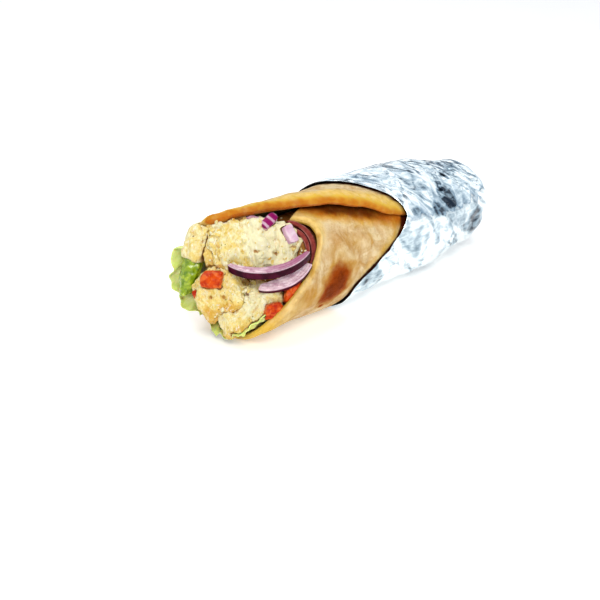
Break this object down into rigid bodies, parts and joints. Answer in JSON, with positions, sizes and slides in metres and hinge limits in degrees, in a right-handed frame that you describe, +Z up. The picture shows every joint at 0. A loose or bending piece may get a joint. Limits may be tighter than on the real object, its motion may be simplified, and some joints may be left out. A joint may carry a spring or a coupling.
{
  "type": "kati roll",
  "caption": "Pan-fried flatbread rolled round chicken, onion, sweet pepper and lettuce, open at one end and wrapped in crumpled foil at the other, to eat by hand.",
  "frame": {"origin": "on the surface that the roll rests on, under the middle of its length and width", "axes": "+X along the roll from its open mouth to its foil tail, +Y toward the side away from the cut-back mouth, +Z up"},
  "size_m": [0.1932, 0.0607, 0.0603],
  "materials": {
    "bread": "pan-fried flatbread, cream with golden edges and toasted brown patches, a little oily",
    "foil": "thin crumpled kitchen foil, bright and sharply creased",
    "filling": "chopped cooked chicken in a pale spiced sauce",
    "chicken": "torn chunks of cooked chicken, cream to pale yellow with golden faces",
    "onion": "red onion, dark purple skin side and pale pink flesh, moist",
    "red_pepper": "red sweet pepper, glossy",
    "green_pepper": "green sweet pepper, wet and glossy",
    "lettuce": "pale green lettuce, thin and ruffled, slightly see-through"
  },
  "bodies": {
    "root": {"flatbread": "bread", "foil_wrap": "foil", "filling_core": "filling", "chicken_upper_left": "chicken", "chicken_upper_right": "chicken", "chicken_back": "chicken", "chicken_sliver": "chicken", "chicken_lower_left": "chicken", "chicken_lower_right": "chicken", "onion_long": "onion", "onion_short": "onion", "onion_ring_outer": "onion", "onion_ring_inner": "onion", "onion_dice": "onion", "onion_block": "onion", "onion_scrap": "onion", "pepper_left": "red_pepper", "pepper_corner": "red_pepper", "pepper_right": "red_pepper", "pepper_low": "red_pepper", "pepper_green": "green_pepper", "lettuce_far": "lettuce", "lettuce_low": "lettuce"}
  },
  "joints": []
}
